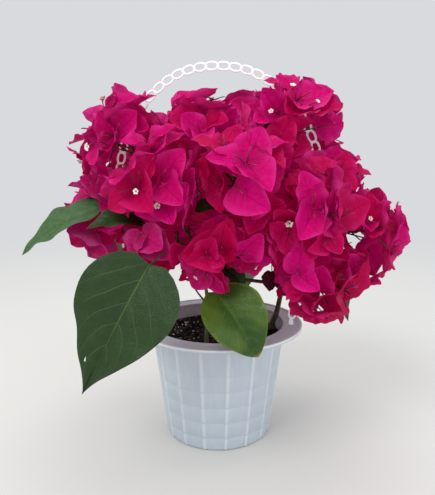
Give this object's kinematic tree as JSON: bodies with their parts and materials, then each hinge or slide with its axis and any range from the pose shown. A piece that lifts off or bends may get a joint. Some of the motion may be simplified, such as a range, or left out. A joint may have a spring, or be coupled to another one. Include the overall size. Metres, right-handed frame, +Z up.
{
  "type": "potted bougainvillea bush",
  "caption": "Small bougainvillea in full bloom, with papery bracts on thin woody stems, in a tapered ribbed plastic pot with a wide flange and a carrying strap of rings.",
  "frame": {"origin": "middle of the pot's flat underside, on the ground", "axes": "+Z up, -Y towards the front that the picture shows, +X to the right in the picture"},
  "size_m": [0.3498, 0.2394, 0.3478],
  "materials": {
    "pot_plastic": "moulded white, slightly bluish, satin",
    "strap_plastic": "moulded white, satin",
    "soil_mix": "dark moist potting mix with pale specks",
    "bark": "thin brown bark, green on the young side",
    "leaves": "dark green, slightly glossy, pale veins",
    "bracts": "crimson magenta, papery and veined",
    "faded": "wilted dark maroon"
  },
  "bodies": {
    "root": {"pot": "pot_plastic", "soil": "soil_mix", "carrying_strap": "strap_plastic", "main_stem": "bark", "thin_stem": "bark", "blossom_back_centre": "bracts", "blossom_back_left": "bracts", "blossom_back_left_low": "bracts", "blossom_back_low": "bracts", "blossom_back_right": "bracts", "blossom_back_right_low": "bracts", "blossom_far_right": "bracts", "blossom_front_centre": "bracts", "blossom_front_left": "bracts", "blossom_front_low": "bracts", "blossom_front_right": "bracts", "blossom_left": "bracts", "blossom_low_left": "bracts", "blossom_low_right": "bracts", "blossom_right_shoulder": "bracts", "blossom_top_back": "bracts", "blossom_top_centre": "bracts", "blossom_top_left": "bracts", "blossom_top_right": "bracts", "bough_back_centre": "bark", "bough_back_left": "bark", "bough_back_left_low": "bark", "bough_back_low": "bark", "bough_back_right": "bark", "bough_back_right_low": "bark", "bough_far_right": "bark", "bough_front_centre": "bark", "bough_front_left": "bark", "bough_front_low": "bark", "bough_front_right": "bark", "bough_left": "bark", "bough_low_left": "bark", "bough_low_right": "bark", "bough_right_shoulder": "bark", "bough_top_back": "bark", "bough_top_centre": "bark", "bough_top_right": "bark", "faded_bract": "faded", "leaf_back_left": "leaves", "leaf_back_low": "leaves", "leaf_back_right": "leaves", "leaf_front_centre": "leaves", "leaf_front_left": "leaves", "leaf_left": "leaves", "leaf_left_inner": "leaves", "leaf_low_right": "leaves", "leaf_shade": "leaves"}
  },
  "joints": []
}
